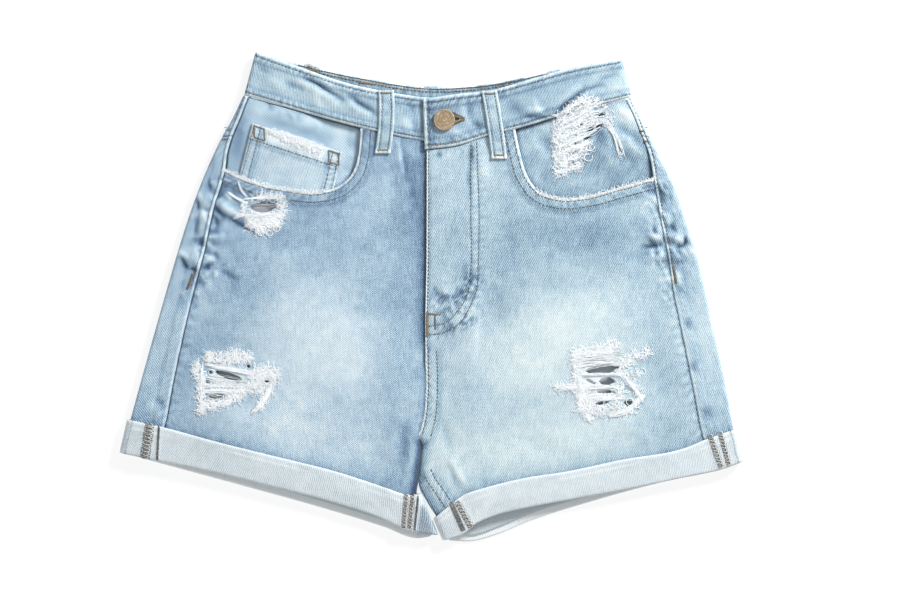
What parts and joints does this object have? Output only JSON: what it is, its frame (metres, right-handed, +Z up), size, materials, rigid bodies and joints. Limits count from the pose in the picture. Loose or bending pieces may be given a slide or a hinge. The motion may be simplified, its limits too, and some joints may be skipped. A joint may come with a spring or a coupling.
{
  "type": "denim shorts",
  "caption": "Light blue ripped denim shorts with turned-up cuffs, a buttoned fly and scooped front pockets, laid flat.",
  "frame": {"origin": "on the surface that the shorts lie on, below the middle of their box", "axes": "+X towards the wearer's left, +Y towards the waist, +Z up off the surface, front side up"},
  "size_m": [0.525, 0.4116, 0.0132],
  "materials": {
    "denim": "light stone-washed blue denim twill",
    "denim_reverse": "pale reverse side of the denim",
    "pocketing": "thin grey-lilac cotton",
    "copper": "aged rose copper plating",
    "zip_tape": "woven tape",
    "topstitch": "faded gold-brown sewing thread",
    "yarn": "loose white weft yarn",
    "overlock": "grey-brown overlock thread"
  },
  "bodies": {
    "root": {"front_right": "denim", "front_left": "denim", "back_right": "denim", "back_left": "denim", "yoke_right": "denim", "yoke_left": "denim", "waistband": "denim", "belt_loop_front_right": "denim", "belt_loop_front_left": "denim", "belt_loop_back_right": "denim", "belt_loop_back_centre": "denim", "belt_loop_back_left": "denim", "pocket_facing_right": "denim", "pocket_facing_left": "denim", "coin_pocket": "denim", "back_pocket_right": "denim", "back_pocket_left": "denim", "pocket_bag_right": "pocketing", "pocket_bag_left": "pocketing", "cuff_right": "denim_reverse", "cuff_left": "denim_reverse", "button": "copper", "fly_zip": "zip_tape"}
  },
  "joints": []
}
